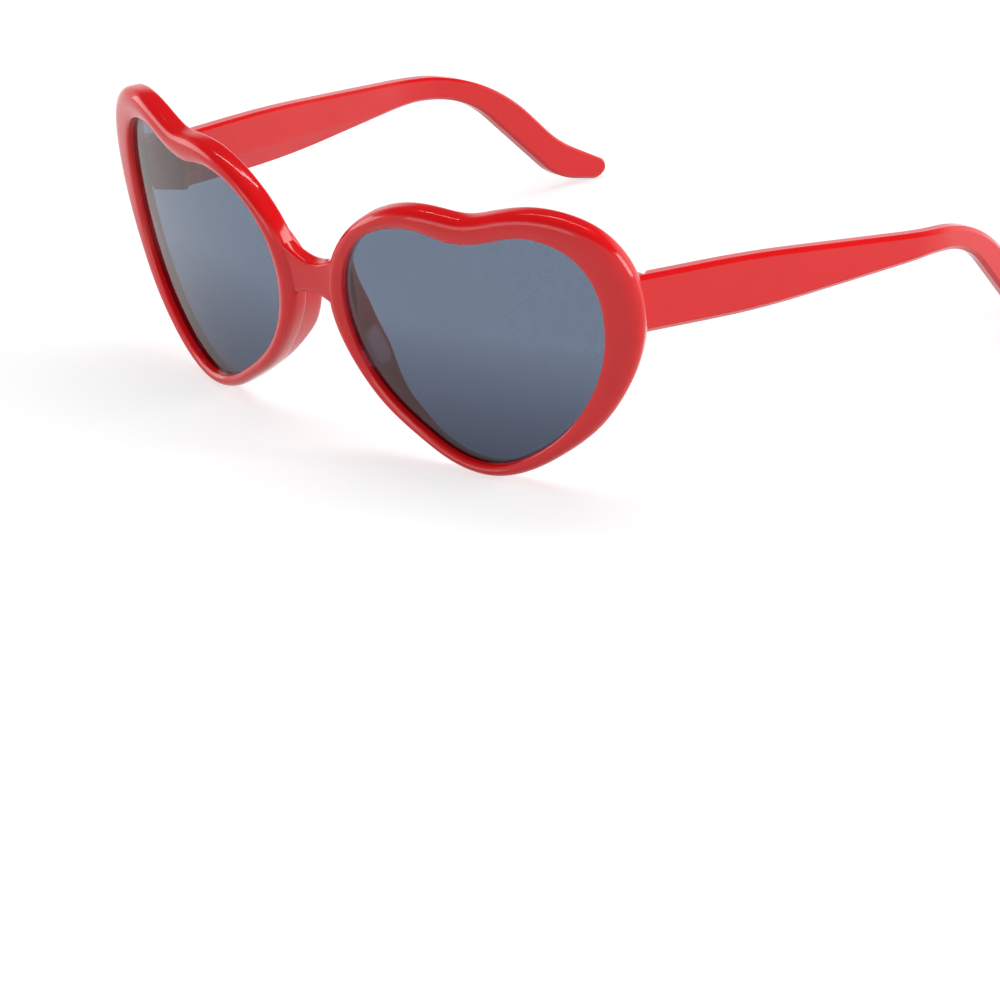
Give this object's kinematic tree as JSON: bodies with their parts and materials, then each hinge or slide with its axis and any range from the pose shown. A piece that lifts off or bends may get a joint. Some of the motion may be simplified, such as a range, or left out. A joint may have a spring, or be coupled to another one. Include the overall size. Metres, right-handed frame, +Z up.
{
  "type": "heart shaped sunglasses",
  "caption": "Sunglasses with heart shaped rims, smoke lenses backed by a dotted effect film, and side arms that fold on hinge screws.",
  "frame": {"origin": "on the ground, under the middle of the box round the opened glasses", "axes": "+Z up, -Y the way the glasses face, +X to the viewer's right, standing on the heart tips and the arm tips"},
  "size_m": [0.1542, 0.166, 0.0628],
  "materials": {
    "red_plastic": "glossy moulded plastic",
    "smoke_lens": "clear smoke tint, polished",
    "clear_film": "thin film with a fine dot grid",
    "screw_steel": "plain steel"
  },
  "bodies": {
    "front": {"front_frame": "red_plastic", "left_lens": "smoke_lens", "right_lens": "smoke_lens", "left_film": "clear_film", "right_film": "clear_film", "left_hinge_screw": "screw_steel", "right_hinge_screw": "screw_steel"},
    "left_arm": {"left_temple": "red_plastic"},
    "right_arm": {"right_temple": "red_plastic"}
  },
  "joints": [
    {"name": "left_arm_fold", "type": "hinge", "parent": "front", "child": "left_arm", "pos_m": [-0.064, -0.05162, 0.0402], "axis": [0, -0.0869, -0.9962], "range_deg": [0, 93]},
    {"name": "right_arm_fold", "type": "hinge", "parent": "front", "child": "right_arm", "pos_m": [0.064, -0.05162, 0.0402], "axis": [0, 0.0869, 0.9962], "range_deg": [0, 82]}
  ]
}
